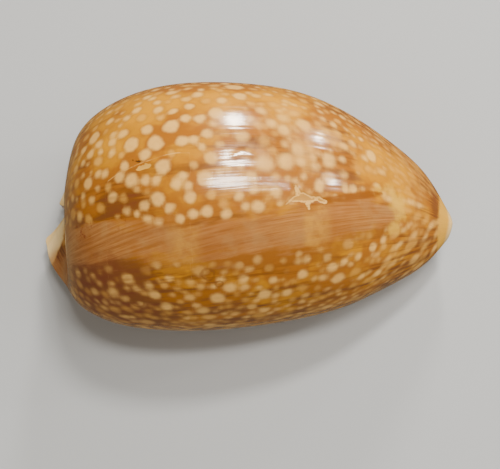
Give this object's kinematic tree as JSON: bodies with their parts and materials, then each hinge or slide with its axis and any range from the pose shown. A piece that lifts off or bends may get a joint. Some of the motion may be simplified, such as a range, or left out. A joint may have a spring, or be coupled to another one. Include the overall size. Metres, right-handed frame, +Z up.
{
  "type": "cowrie shell",
  "caption": "Hollow egg-shaped glossy cowrie shell with a toothed slit along its flattened base and a notch at each end.",
  "frame": {"origin": "centre of the bounding box, on the base that the shell rests on", "axes": "+X along the shell toward its narrow front end, -Y toward the outer lip, +Z up out of the domed back"},
  "size_m": [0.1032, 0.0604, 0.0488],
  "materials": {
    "shell": "glossy enamel over amber brown ground with pale round spots"
  },
  "bodies": {
    "root": {"cowrie_shell": "shell"}
  },
  "joints": []
}
